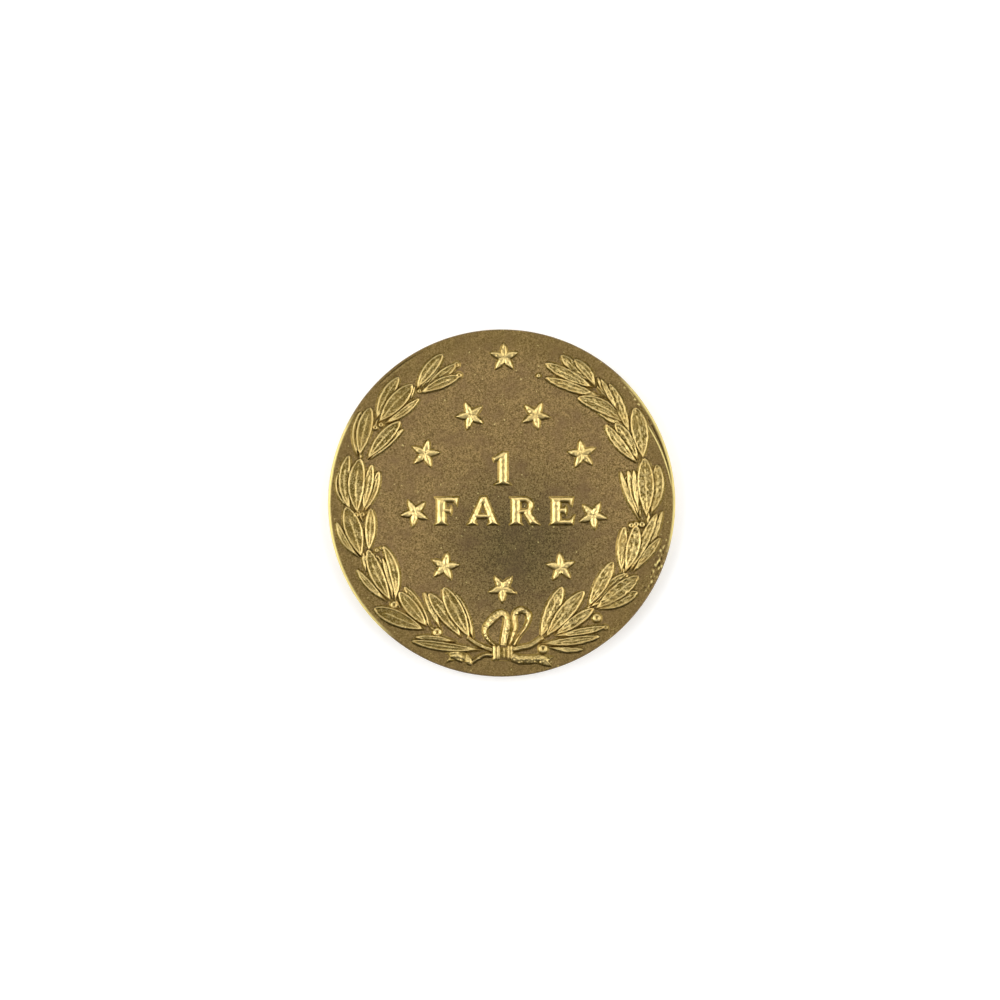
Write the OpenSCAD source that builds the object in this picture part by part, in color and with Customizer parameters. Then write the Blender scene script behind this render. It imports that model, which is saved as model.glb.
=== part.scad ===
// Transit token: a struck brass disc. The obverse carries two laurel
// branches tied by a ribbon, ten stars and a short generic inscription.
// The reverse carries a rim, a ring of beads and one star.
//
// Frame: origin at the centre of the reverse rest face, +Z out of the
// obverse, +Y towards the top of the design. The devices are drawn for a
// 23 mm token and follow token_d.

/* [Flan] */
// Diameter of the token
token_d = 23; // [16:0.5:30]
// Thickness of the disc, from the rest face to the obverse field
flan_t = 1.4; // [1.1:0.1:2]
// Width and height of the bevel at the obverse edge
obverse_bevel = 0.2; // [0.1:0.05:0.3]
// Width and height of the bevel at the reverse edge
reverse_bevel = 0.1; // [0.05:0.05:0.15]
// Width of the raised rim on the reverse
rim_w = 0.7; // [0.5:0.1:1]
// Depth of the reverse field below its rim
recess = 0.15; // [0.1:0.05:0.25]
// How far to the right of the disc's centre the obverse is struck
strike_x = 0.14; // [0:0.02:0.2]

/* [Relief] */
// Height of the front leaf in each spray
leaf_h = 0.2; // [0.15:0.01:0.22]
// Drop in height from each leaf to the one behind it
leaf_step = 0.02; // [0.01:0.005:0.025]
// Height of the berries
berry_h = 0.16; // [0.08:0.01:0.2]
// Height of the two stems
stem_h = 0.12; // [0.06:0.01:0.2]
// Height of the ribbon's loops and tails
ribbon_h = 0.19; // [0.08:0.01:0.2]
// Height of the ribbon's knot
knot_h = 0.2; // [0.1:0.01:0.22]
// Height of the stars at their centre
star_h = 0.19; // [0.1:0.01:0.22]
// Height of the inscription
letter_h = 0.19; // [0.1:0.01:0.22]
// Height of the devices on the reverse, below the depth of its field
reverse_h = 0.09; // [0.05:0.01:0.09]

/* [Stars] */
// Radius of a star's tips
star_tip_r = 0.98; // [0.8:0.02:1.1]
// Radius of a star's inner corners
star_inner_r = 0.4; // [0.3:0.02:0.5]
// Radius of the tips of the star on the reverse
reverse_star_r = 5; // [3:0.25:6]

/* [Beads] */
// Number of beads on the reverse
bead_count = 72; // [36:4:90]
// Radius of one bead
bead_r = 0.22; // [0.15:0.01:0.25]

/* [Hidden] */
token_r = token_d / 2;
design_r = 11.5;             // the radius that the devices are drawn for
k = token_r / design_r;      // scale of the devices on the field
rim_slope = recess;          // the rim's inner wall leans at 45 degrees
bead_ring_r = 9.9;
leaf_steps = 8;              // stations along a leaf, from base to tip
blade_swell = 1.25;          // above 1, a leaf is widest beyond its middle
blade_fullness = 0.7;        // the lower, the blunter its ends
arm_count = 5;               // arms of a star
corner_count = 2 * arm_count;
star_ratio = star_inner_r / star_tip_r;
cut_below = 0.1;             // a cutting space starts this far under the field
cut_h = 0.5;                 // and is this tall
fold_count = 3;              // grooves along the knot
fold_w = 0.1;
fold_depth = 0.06;
$fn = 96;

brass_field = [0.52, 0.43, 0.28];
brass_relief = [0.82, 0.71, 0.46];

// A leaf is [base, tip, width, bow], where bow is how far the middle of its
// midrib stands to the left of the line from base to tip. The first leaf of
// a spray is in front, and each next one lies lower and behind it.
left_leaves = [
    [
        [[-2.2, -9], [-4, -5.55], 1.15, 0],
        [[-2.75, -8.95], [-5, -5.95], 0.95, -0.04],
        [[-1.95, -9.1], [-3.2, -6], 0.6, -0.05],
        [[-4.15, -8.35], [-5.3, -5.85], 0.5, 0],
        [[-1.3, -9.7], [-6.15, -9.1], 0.66, 0.12],
        [[-3, -9.15], [-5.9, -8.85], 0.5, 0]
    ],
    [
        [[-5, -8.2], [-6.95, -5.85], 0.95, 0.03],
        [[-4.8, -8.3], [-6.6, -5.5], 0.7, -0.05],
        [[-5.2, -8.4], [-8.6, -6.95], 1.1, 0],
        [[-4.3, -8.65], [-5.2, -7.9], 0.24, 0]
    ],
    [
        [[-7.4, -6.55], [-9, -3.05], 1, 0.14],
        [[-7.2, -6.6], [-8, -2.8], 0.75, -0.38],
        [[-7.3, -6.4], [-8.05, -3.6], 0.45, -0.1],
        [[-7.65, -6.55], [-9.75, -4.35], 0.55, 0.12],
        [[-7.3, -6.4], [-8.45, -3.4], 0.7, 0],
        [[-6.8, -7], [-7.3, -6.2], 0.24, 0]
    ],
    [
        [[-9.4, -3.6], [-10.45, -0.25], 1.25, -0.04],
        [[-8.95, -3.3], [-8.8, -0.3], 0.8, -0.05],
        [[-9.5, -3.6], [-11.05, -1.2], 0.55, 0.25],
        [[-9.1, -4.6], [-9.3, -3.2], 0.36, 0]
    ],
    [
        [[-9.65, -0.75], [-9.45, 2.95], 1.2, 0.21],
        [[-10.1, -0.6], [-10.2, 3.2], 0.85, 0.4],
        [[-10.2, -0.4], [-10.85, 2.15], 0.55, 0.33],
        [[-9.3, -0.6], [-8.7, 2.6], 0.72, 0],
        [[-9.3, -0.7], [-8.25, 2.15], 0.66, -0.12],
        [[-9.3, -1.3], [-9.65, -0.4], 0.24, 0]
    ],
    [
        [[-9.55, 3.1], [-8.8, 6.35], 1.1, 0.08],
        [[-9.05, 2.85], [-6.8, 5.4], 0.95, 0.12],
        [[-9.65, 3], [-9.4, 6.1], 0.6, 0.25],
        [[-8.9, 2.85], [-6.6, 4.95], 0.5, 0],
        [[-9.45, 2.6], [-9.5, 3.5], 0.26, 0]
    ],
    [
        [[-8.3, 5.3], [-6, 7.85], 1.15, 0.05],
        [[-8.45, 5.5], [-6.9, 8.35], 0.9, 0.15],
        [[-8, 5.2], [-5.55, 6.95], 0.6, -0.12],
        [[-8.7, 4.7], [-8.3, 5.6], 0.24, 0]
    ],
    [
        [[-5.8, 7.5], [-4, 9.85], 0.9, 0.12],
        [[-5.5, 7.6], [-4.2, 9.2], 0.55, 0.05],
        [[-5.6, 7.25], [-2.9, 8.4], 0.78, 0.05],
        [[-5.3, 7.5], [-3.1, 9.2], 0.75, 0],
        [[-6.15, 6.85], [-5.85, 7.8], 0.26, 0]
    ]
];
right_leaves = [
    [
        [[2.7, -8.95], [5.35, -5.8], 1.05, 0.05],
        [[2.4, -9], [3.9, -5.5], 1, 0.03],
        [[3.3, -8.8], [6, -6.95], 0.8, 0],
        [[2.3, -9.3], [6.4, -8.8], 0.62, -0.1],
        [[3.2, -8.8], [6.85, -8.15], 0.55, -0.05],
        [[2.9, -9.5], [5.3, -9.65], 0.42, -0.12]
    ],
    [
        [[6, -7.05], [8.95, -4.8], 1.05, 0],
        [[5.55, -6.9], [7.25, -3.85], 0.95, -0.02],
        [[6.2, -7.05], [8.9, -5.85], 0.85, -0.05],
        [[5.7, -6.95], [8.25, -4.65], 1, 0.05],
        [[5.25, -7.6], [5.8, -6.6], 0.3, 0]
    ],
    [
        [[8, -4.6], [8.75, -1.45], 1, -0.15],
        [[7.8, -4.7], [8, -1.5], 0.75, 0.08],
        [[8.3, -4.6], [10.15, -0.65], 0.75, 0],
        [[8.5, -4.6], [10.4, -2.25], 0.65, 0],
        [[8.9, -3.9], [10.5, -0.45], 0.45, -0.2],
        [[8.3, -4.6], [9.3, -2], 0.7, 0],
        [[7.7, -5.2], [7.95, -4.2], 0.36, 0]
    ],
    [
        [[9.45, -0.95], [9.3, 3], 1.2, -0.03],
        [[8.95, -0.7], [8.6, 2.25], 0.45, 0.05],
        [[8.9, -0.8], [8.2, 2.2], 0.55, 0],
        [[9, -1.2], [7.7, 2.15], 0.45, 0.1],
        [[9.7, -0.8], [10.1, 2.6], 0.95, -0.25],
        [[9.1, -1], [8.1, 1.8], 0.9, 0.1],
        [[9.5, -1.8], [9.6, -0.5], 0.3, 0]
    ],
    [
        [[9.2, 2.9], [8.65, 6.35], 1.2, -0.1],
        [[8.9, 2.6], [6.7, 5.25], 0.75, 0.12],
        [[8.9, 2.8], [7.35, 5.3], 0.9, -0.1],
        [[9, 1.8], [9.2, 3.1], 0.26, 0]
    ],
    [
        [[7.6, 6], [6.4, 8.25], 0.45, 0],
        [[8.35, 4.4], [6.95, 7.95], 0.7, -0.12],
        [[6.9, 6.9], [6.15, 8.35], 0.35, 0],
        [[8.1, 5.2], [4.85, 6.95], 1, -0.3],
        [[8.2, 4.9], [5.9, 6.4], 0.5, 0.05],
        [[8.8, 3.8], [8.3, 4.9], 0.26, 0]
    ],
    [
        [[6.1, 7.6], [4.6, 9.5], 0.7, -0.2],
        [[6.5, 7], [2.7, 8.3], 0.7, 0.02],
        [[6, 7.6], [2.7, 9.25], 0.8, 0],
        [[5.6, 8.1], [3.75, 9.8], 0.75, 0],
        [[7, 6.8], [6.1, 7.8], 0.26, 0]
    ]
];

// A berry is [x, y, radius].
left_berries = [
    [-4.4, -8.55, 0.33], [-7.25, -6.75, 0.3], [-9.2, -3.65, 0.22], [-8.4, -3.12, 0.17],
    [-8.08, -3, 0.14], [-9.75, -0.8, 0.22], [-9.36, -0.76, 0.2], [-8.5, 5, 0.2],
    [-8.12, 5.18, 0.2], [-5.58, 7.4, 0.16], [-5.25, 7.4, 0.16], [-3.12, 9.15, 0.24],
    [-2.95, 8.45, 0.23]
];
right_berries = [
    [2.6, -9.65, 0.35], [6.15, -7.6, 0.33], [6.72, -8.22, 0.2], [8.44, -1.48, 0.21],
    [8.76, -1.4, 0.21], [9.15, -1.42, 0.23], [2.3, 8.42, 0.16], [3, 9.12, 0.16]
];

// A ribbon or stem is a line of [x, y, width].
left_stem_path = [
    [-0.75, -9.72, 0.3], [-1.3, -9.52, 0.3], [-1.8, -9.28, 0.3], [-2.4, -8.85, 0.3]
];
right_stem_path = [
    [0.6, -9.68, 0.38], [1.2, -9.55, 0.38], [1.8, -9.4, 0.38], [2.6, -8.85, 0.38]
];
left_loop_path = [
    [-0.55, -9.45, 0.2], [-0.95, -9.1, 0.22], [-1.22, -8.7, 0.28], [-1.2, -8.25, 0.38],
    [-0.9, -7.85, 0.5], [-0.5, -7.45, 0.55], [-0.1, -7.28, 0.42], [0.16, -7.55, 0.4],
    [0.2, -8, 0.5], [0.1, -8.6, 0.52], [-0.05, -9.4, 0.44]
];
right_loop_path = [
    [0.36, -9.4, 0.24], [0.58, -8.8, 0.28], [0.74, -8.2, 0.32], [0.68, -7.6, 0.36],
    [0.85, -7.2, 0.42], [1.25, -7.08, 0.4], [1.62, -7.35, 0.38], [1.62, -7.8, 0.3],
    [1.4, -8.3, 0.25], [1.02, -8.8, 0.24], [0.68, -9.4, 0.22]
];
left_tail_path = [
    [-0.7, -10.05, 0.3], [-1.25, -10.05, 0.28], [-1.7, -10.25, 0.28], [-2.1, -10.55, 0.24]
];
left_tail_end_path = [
    [-2.05, -10.68, 0.2], [-2.35, -10.42, 0.55], [-2.75, -10.15, 0.72], [-3.3, -10.1, 0.6],
    [-3.9, -10.22, 0.66]
];
right_tail_path = [
    [0.5, -10.15, 0.5], [1, -10.32, 0.6], [1.6, -10.35, 0.56], [2.2, -10.3, 0.56],
    [2.7, -10.4, 0.66], [3.3, -10.5, 0.66]
];
left_notch = [[-3.9, -10.5], [-3.45, -10.2], [-3.95, -10.05]];
right_notch = [[3.4, -10.3], [2.95, -10.45], [3.35, -10.7]];
knot_low = [-0.75, -10.4];
knot_high = [0.6, -9.4];

// A star is [x, y, angle of one tip].
stars = [
    [0.02, 9.65, 91],
    [-2.19, 5.78, 39.5],
    [2.1, 5.8, 64.6],
    [-5.2, 3.25, 77.5],
    [5.18, 3.22, 98],
    [-5.88, -0.65, 45.7],
    [5.9, -0.82, 61],
    [-3.9, -4.2, 79.3],
    [3.77, -4.26, 95],
    [-0.07, -5.64, 51.4]
];

// The inscription: the baselines, where each letter starts, and the outlines
// of its letters from the lower left corner.
word_y = -1.45;
numeral_x = -0.95;
numeral_y = 1.2;
f_x = -4.65;
a_x = -2.45;
r_x = 0.3;
e_x = 2.95;
numeral_outline = [
    [0.3, 0], [1.5, 0], [1.22, 0.28], [1.22, 2.2], [0.85, 2.2], [0.2, 1.8],
    [0.3, 1.5], [0.6, 1.62], [0.6, 0.28]
];
foot = [[0.96, 0], [0.82, 0.22]];
stem_left = [[0.06, 1.85], [0.2, 1.63], [0.2, 0.22], [0.06, 0]];
arms = [
    [0.82, 0.78], [1.02, 0.78], [1.17, 0.6], [1.25, 0.95], [1.17, 1.3], [1.02, 1.12],
    [0.82, 1.12], [0.82, 1.5], [1.3, 1.5], [1.55, 1.2], [1.68, 1.85]
];
f_outline = concat(foot, arms, stem_left);
e_outline = concat([[1.64, 0], [1.74, 0.68], [1.4, 0.36], [0.82, 0.36]], arms, stem_left);
a_outline = [
    [0, 0], [0.72, 0], [0.6, 0.2], [0.68, 0.42], [1.4, 0.42], [1.47, 0.2], [1.36, 0],
    [2.14, 0], [2, 0.2], [1.32, 1.9], [0.92, 1.9], [0.14, 0.2]
];
a_hole = [[0.8, 0.74], [1.3, 0.74], [1.07, 1.36]];
bowl = [1.12, 1.29];
bowl_r = 0.56;
r_outline = concat(
    foot,
    [[0.82, 0.73], [1, 0.73], [1.45, 0], [2.12, 0], [1.95, 0.2], [1.55, 0.79]],
    [for (a = [-45:15:90]) bowl + bowl_r * [cos(a), sin(a)]],
    stem_left
);
bowl_hole_r = 0.23;
r_hole = concat(
    [[0.82, bowl[1] + bowl_hole_r], [0.82, bowl[1] - bowl_hole_r]],
    [for (a = [-90:15:90]) bowl - [0.04, 0] + bowl_hole_r * [cos(a), sin(a)]]
);

// Point on a leaf's midrib at a share t of its length.
function midrib(l, t) =
    let (run = l[1] - l[0], side = [-run[1], run[0]] / norm(run))
    l[0] + run * t + side * l[3] * 4 * t * (1 - t);

// Step from a leaf's midrib to its left edge: narrow at the base, widest a
// little beyond the middle and blunt at the tip.
function half_blade(l, t) =
    let (run = l[1] - l[0], side = [-run[1], run[0]] / norm(run))
    side * l[2] / 2 * pow(sin(180 * pow(t, blade_swell)), blade_fullness);

function leaf_outline(l) = concat(
    [for (i = [0:leaf_steps]) let (t = i / leaf_steps) midrib(l, t) + half_blade(l, t)],
    [
        for (i = [leaf_steps - 1:-1:1])
        let (t = i / leaf_steps) midrib(l, t) - half_blade(l, t)
    ]
);

function place(path, i) = [path[i][0], path[i][1]];

// Step from the middle of a strip to its left edge, square to the strip.
function strip_side(path, i) =
    let (run = place(path, min(i + 1, len(path) - 1)) - place(path, max(i - 1, 0)))
    [-run[1], run[0]] / norm(run) * path[i][2] / 2;

function strip_outline(path) = concat(
    [for (i = [0:len(path) - 1]) place(path, i) + strip_side(path, i)],
    [for (i = [len(path) - 1:-1:0]) place(path, i) - strip_side(path, i)]
);

function star_outline(tip_r, inner_r, turn) = [
    for (i = [0:corner_count - 1])
    let (r = i % 2 == 0 ? tip_r : inner_r, a = turn + 360 / corner_count * i)
    [r * cos(a), r * sin(a)]
];

// Raises a flat shape from the obverse field.
module raise(h) {
    translate([strike_x, 0, flan_t]) linear_extrude(h) children();
}

module leaf(l, h) {
    raise(h) polygon(k * leaf_outline(l));
}

// One spray: its front leaf is the tallest.
module spray(leaves) {
    for (i = [0:len(leaves) - 1]) leaf(leaves[i], leaf_h - leaf_step * i);
}

// The space over an outline on the field, which other devices stay out of.
module space_over() {
    translate([0, 0, -cut_below]) raise(cut_h) children();
}

module over_spray(leaves) {
    for (l = leaves) space_over() polygon(k * leaf_outline(l));
}

// Spray number n of a branch, cut where the spray below it lies on top.
module branch_spray(branch, n) {
    color(brass_relief)
    difference() {
        spray(branch[n - 1]);
        if (n > 1) over_spray(branch[n - 2]);
    }
}

// The berries show beside the leaves, which lie over them.
module berries(list, branch) {
    color(brass_relief)
    difference() {
        for (b = list) raise(berry_h) translate(k * [b[0], b[1]]) circle(k * b[2]);
        for (leaves = branch) over_spray(leaves);
    }
}

module strip(path, h) {
    raise(h) polygon(k * strip_outline(path));
}

module knot_outline() {
    translate(k * knot_low) square(k * (knot_high - knot_low));
}

module over_strip(path) {
    space_over() polygon(k * strip_outline(path));
}

module over_knot() {
    space_over() knot_outline();
}

module flan() {
    color(brass_field)
    rotate_extrude()
    polygon([
        [0, recess],
        [token_r - rim_w - rim_slope, recess],
        [token_r - rim_w, 0],
        [token_r - reverse_bevel, 0],
        [token_r, reverse_bevel],
        [token_r, flan_t - obverse_bevel],
        [token_r - obverse_bevel, flan_t],
        [0, flan_t]
    ]);
}

module stem(path, leaves) {
    color(brass_relief)
    difference() {
        strip(path, stem_h);
        over_knot();
        over_spray(leaves);
    }
}

module left_stem() {
    stem(left_stem_path, left_leaves[0]);
}

module right_stem() {
    stem(right_stem_path, right_leaves[0]);
}

// The knot: a block with shallow grooves across it, between its folds.
module ribbon_knot() {
    knot_size = k * (knot_high - knot_low);
    pitch = knot_size[0] / (fold_count + 1);
    color(brass_relief)
    difference() {
        raise(knot_h) knot_outline();
        for (i = [1:fold_count])
            translate([strike_x + k * knot_low[0] + pitch * i, 0, flan_t + knot_h])
            translate([-fold_w / 2, k * knot_low[1] - cut_below, -fold_depth])
            cube([fold_w, knot_size[1] + 2 * cut_below, cut_h]);
    }
}

module ribbon_loop_left() {
    color(brass_relief)
    difference() {
        strip(left_loop_path, ribbon_h);
        over_knot();
    }
}

module ribbon_loop_right() {
    color(brass_relief)
    difference() {
        strip(right_loop_path, ribbon_h);
        over_knot();
        over_strip(left_loop_path);
    }
}

// A tail ends in a notch between two points.
module ribbon_tail(paths, stem_path, notch) {
    color(brass_relief)
    difference() {
        for (path = paths) strip(path, ribbon_h);
        over_knot();
        over_strip(stem_path);
        space_over() polygon(k * notch);
    }
}

module ribbon_tail_left() {
    ribbon_tail([left_tail_path, left_tail_end_path], left_stem_path, left_notch);
}

module ribbon_tail_right() {
    ribbon_tail([right_tail_path], right_stem_path, right_notch);
}

// A star with a low wall and ten facets that rise to its centre.
module faceted_star(tip_r, inner_r, turn, wall, peak) {
    outline = star_outline(tip_r, inner_r, turn);
    n = corner_count;
    points = concat(
        [for (p = outline) [p[0], p[1], 0]],
        [for (p = outline) [p[0], p[1], wall]],
        [[0, 0, 0], [0, 0, peak]]
    );
    polyhedron(
        points,
        concat(
            [for (i = [0:n - 1]) [2 * n, i, (i + 1) % n]],
            [for (i = [0:n - 1]) [i, i + n, (i + 1) % n + n, (i + 1) % n]],
            [for (i = [0:n - 1]) [i + n, 2 * n + 1, (i + 1) % n + n]]
        )
    );
}

module star(s) {
    color(brass_relief)
    translate([strike_x + k * s[0], k * s[1], flan_t])
    faceted_star(k * star_tip_r, k * star_inner_r, s[2], star_h / 3, star_h);
}

// A letter is cut from its outline, less the hole that it closes round.
module inscribe(origin, outline, hole = []) {
    color(brass_relief)
    raise(letter_h)
    translate(k * origin)
    difference() {
        polygon(k * outline);
        if (len(hole) > 0) polygon(k * hole);
    }
}

module numeral_1() {
    inscribe([numeral_x, numeral_y], numeral_outline);
}

module letter_f() {
    inscribe([f_x, word_y], f_outline);
}

module letter_a() {
    inscribe([a_x, word_y], a_outline, a_hole);
}

module letter_r() {
    inscribe([r_x, word_y], r_outline, r_hole);
}

module letter_e() {
    inscribe([e_x, word_y], e_outline);
}

// Beads stand down from the reverse field, inside the rim.
module reverse_beads() {
    color(brass_relief)
    for (i = [0:bead_count - 1])
        rotate(360 / bead_count * i)
        translate([k * bead_ring_r, 0, recess - reverse_h])
        cylinder(h = reverse_h, r = k * bead_r);
}

module reverse_star() {
    color(brass_relief)
    translate([0, 0, recess])
    rotate([180, 0, 0])
    faceted_star(
        k * reverse_star_r, k * reverse_star_r * star_ratio, -90, reverse_h / 3, reverse_h
    );
}

flan();
left_stem();
right_stem();
berries(left_berries, left_leaves);
berries(right_berries, right_leaves);
for (i = [1:len(left_leaves)])
    branch_spray(left_leaves, i);
for (i = [1:len(right_leaves)])
    branch_spray(right_leaves, i);
ribbon_knot();
ribbon_loop_left();
ribbon_loop_right();
ribbon_tail_left();
ribbon_tail_right();
for (i = [1:len(stars)])
    star(stars[i - 1]);
numeral_1();
letter_f();
letter_a();
letter_r();
letter_e();
reverse_beads();
reverse_star();
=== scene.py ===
"""Transit token: a worn struck brass disc with laurel branches, stars and a short inscription.

Shapes are worked out in millimetres in the part's own frame and turned to metres when a mesh is made.
"""

import math

import bpy
import numpy as np
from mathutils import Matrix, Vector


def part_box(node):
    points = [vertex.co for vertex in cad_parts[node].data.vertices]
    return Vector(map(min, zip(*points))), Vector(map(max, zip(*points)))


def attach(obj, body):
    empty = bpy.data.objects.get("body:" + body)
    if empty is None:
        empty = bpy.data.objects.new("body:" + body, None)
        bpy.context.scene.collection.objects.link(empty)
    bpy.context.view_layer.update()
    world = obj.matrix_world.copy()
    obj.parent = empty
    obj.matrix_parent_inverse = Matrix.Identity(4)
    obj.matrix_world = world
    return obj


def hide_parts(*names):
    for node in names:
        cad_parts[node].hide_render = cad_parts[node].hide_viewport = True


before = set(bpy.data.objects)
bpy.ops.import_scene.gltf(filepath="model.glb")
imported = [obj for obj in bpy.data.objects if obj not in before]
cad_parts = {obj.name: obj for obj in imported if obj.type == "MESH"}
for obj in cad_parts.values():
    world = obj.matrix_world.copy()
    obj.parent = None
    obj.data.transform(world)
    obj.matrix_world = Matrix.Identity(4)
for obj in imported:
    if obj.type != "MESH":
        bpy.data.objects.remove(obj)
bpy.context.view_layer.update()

# ---------------------------------------------------------------- sizes, from the frame
MM = 0.001
DESIGN_R = 11.5  # radius that the devices are drawn for
FLAN_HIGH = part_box("flan")[1]
TOKEN_R = FLAN_HIGH.x / MM
FIELD_Z = FLAN_HIGH.z / MM
K = TOKEN_R / DESIGN_R  # scale of the design
STRIKE = (0.14, 0.0)  # the design sits a little to the right of the disc's centre
RECESS_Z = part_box("reverse_star")[1].z / MM
RIM_W = 0.7  # width of the reverse rim
STEP = 0.035  # spacing of the fine grids
SKIRT = -0.06  # level, from the field, at which a device's top surface ends
UNDERSIDE = -0.08  # level of its hidden underside
WALL_SLOPE = 1.7  # steepness of the short wall round a device
SHADE_SHELF_W = 0.065  # width and height of the low shelf at the foot of a wall, which takes the darkest tone: painted shade for the shadow line there
SHADE_SHELF_H = 0.008


def relief_height(node):
    """How far a CAD device stands above the field, in millimetres."""
    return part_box(node)[1].z / MM - FIELD_Z


# ---------------------------------------------------------------- devices
# A leaf is base, tip, width and bow; the first of a spray lies in front.
LEFT_LEAVES = [
    [
        ((-2.2, -9.0), (-4.0, -5.55), 1.15, 0),
        ((-2.75, -8.95), (-5.0, -5.95), 0.95, -0.04),
        ((-1.95, -9.1), (-3.2, -6.0), 0.6, -0.05),
        ((-4.15, -8.35), (-5.3, -5.85), 0.5, 0),
        ((-1.3, -9.7), (-6.15, -9.1), 0.66, 0.12),
        ((-3.0, -9.15), (-5.9, -8.85), 0.5, 0),
    ],
    [
        ((-5.0, -8.2), (-6.95, -5.85), 0.95, 0.03),
        ((-4.8, -8.3), (-6.6, -5.5), 0.7, -0.05),
        ((-5.2, -8.4), (-8.6, -6.95), 1.1, 0),
        ((-4.3, -8.65), (-5.2, -7.9), 0.24, 0),
    ],
    [
        ((-7.4, -6.55), (-9.0, -3.05), 1.0, 0.14),
        ((-7.2, -6.6), (-8.0, -2.8), 0.75, -0.38),
        ((-7.3, -6.4), (-8.05, -3.6), 0.45, -0.1),
        ((-7.65, -6.55), (-9.75, -4.35), 0.55, 0.12),
        ((-7.3, -6.4), (-8.45, -3.4), 0.7, 0),
        ((-6.8, -7.0), (-7.3, -6.2), 0.24, 0),
    ],
    [
        ((-9.4, -3.6), (-10.45, -0.25), 1.25, -0.04),
        ((-8.95, -3.3), (-8.8, -0.3), 0.8, -0.05),
        ((-9.5, -3.6), (-11.05, -1.2), 0.55, 0.25),
        ((-9.1, -4.6), (-9.3, -3.2), 0.36, 0),
    ],
    [
        ((-9.65, -0.75), (-9.45, 2.95), 1.2, 0.21),
        ((-10.1, -0.6), (-10.2, 3.2), 0.85, 0.4),
        ((-10.2, -0.4), (-10.85, 2.15), 0.55, 0.33),
        ((-9.3, -0.6), (-8.7, 2.6), 0.72, 0),
        ((-9.3, -0.7), (-8.25, 2.15), 0.66, -0.12),
        ((-9.3, -1.3), (-9.65, -0.4), 0.24, 0),
    ],
    [
        ((-9.55, 3.1), (-8.8, 6.35), 1.1, 0.08),
        ((-9.05, 2.85), (-6.8, 5.4), 0.95, 0.12),
        ((-9.65, 3.0), (-9.4, 6.1), 0.6, 0.25),
        ((-8.9, 2.85), (-6.6, 4.95), 0.5, 0),
        ((-9.45, 2.6), (-9.5, 3.5), 0.26, 0),
    ],
    [
        ((-8.3, 5.3), (-6.0, 7.85), 1.15, 0.05),
        ((-8.45, 5.5), (-6.9, 8.35), 0.9, 0.15),
        ((-8.0, 5.2), (-5.55, 6.95), 0.6, -0.12),
        ((-8.7, 4.7), (-8.3, 5.6), 0.24, 0),
    ],
    [
        ((-5.8, 7.5), (-4.0, 9.85), 0.9, 0.12),
        ((-5.5, 7.6), (-4.2, 9.2), 0.55, 0.05),
        ((-5.6, 7.25), (-2.9, 8.4), 0.78, 0.05),
        ((-5.3, 7.5), (-3.1, 9.2), 0.75, 0),
        ((-6.15, 6.85), (-5.85, 7.8), 0.26, 0),
    ],
]
RIGHT_LEAVES = [
    [
        ((2.7, -8.95), (5.35, -5.8), 1.05, 0.05),
        ((2.4, -9.0), (3.9, -5.5), 1.0, 0.03),
        ((3.3, -8.8), (6.0, -6.95), 0.8, 0),
        ((2.3, -9.3), (6.4, -8.8), 0.62, -0.1),
        ((3.2, -8.8), (6.85, -8.15), 0.55, -0.05),
        ((2.9, -9.5), (5.3, -9.65), 0.42, -0.12),
    ],
    [
        ((6.0, -7.05), (8.95, -4.8), 1.05, 0),
        ((5.55, -6.9), (7.25, -3.85), 0.95, -0.02),
        ((6.2, -7.05), (8.9, -5.85), 0.85, -0.05),
        ((5.7, -6.95), (8.25, -4.65), 1.0, 0.05),
        ((5.25, -7.6), (5.8, -6.6), 0.3, 0),
    ],
    [
        ((8.0, -4.6), (8.75, -1.45), 1.0, -0.15),
        ((7.8, -4.7), (8.0, -1.5), 0.75, 0.08),
        ((8.3, -4.6), (10.15, -0.65), 0.75, 0),
        ((8.5, -4.6), (10.4, -2.25), 0.65, 0),
        ((8.9, -3.9), (10.5, -0.45), 0.45, -0.2),
        ((8.3, -4.6), (9.3, -2.0), 0.7, 0),
        ((7.7, -5.2), (7.95, -4.2), 0.36, 0),
    ],
    [
        ((9.45, -0.95), (9.3, 3.0), 1.2, -0.03),
        ((8.95, -0.7), (8.6, 2.25), 0.45, 0.05),
        ((8.9, -0.8), (8.2, 2.2), 0.55, 0),
        ((9.0, -1.2), (7.7, 2.15), 0.45, 0.1),
        ((9.7, -0.8), (10.1, 2.6), 0.95, -0.25),
        ((9.1, -1.0), (8.1, 1.8), 0.9, 0.1),
        ((9.5, -1.8), (9.6, -0.5), 0.3, 0),
    ],
    [
        ((9.2, 2.9), (8.65, 6.35), 1.2, -0.1),
        ((8.9, 2.6), (6.7, 5.25), 0.75, 0.12),
        ((8.9, 2.8), (7.35, 5.3), 0.9, -0.1),
        ((9.0, 1.8), (9.2, 3.1), 0.26, 0),
    ],
    [
        ((7.6, 6.0), (6.4, 8.25), 0.45, 0),
        ((8.35, 4.4), (6.95, 7.95), 0.7, -0.12),
        ((6.9, 6.9), (6.15, 8.35), 0.35, 0),
        ((8.1, 5.2), (4.85, 6.95), 1.0, -0.3),
        ((8.2, 4.9), (5.9, 6.4), 0.5, 0.05),
        ((8.8, 3.8), (8.3, 4.9), 0.26, 0),
    ],
    [
        ((6.1, 7.6), (4.6, 9.5), 0.7, -0.2),
        ((6.5, 7.0), (2.7, 8.3), 0.7, 0.02),
        ((6.0, 7.6), (2.7, 9.25), 0.8, 0),
        ((5.6, 8.1), (3.75, 9.8), 0.75, 0),
        ((7.0, 6.8), (6.1, 7.8), 0.26, 0),
    ],
]
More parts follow.
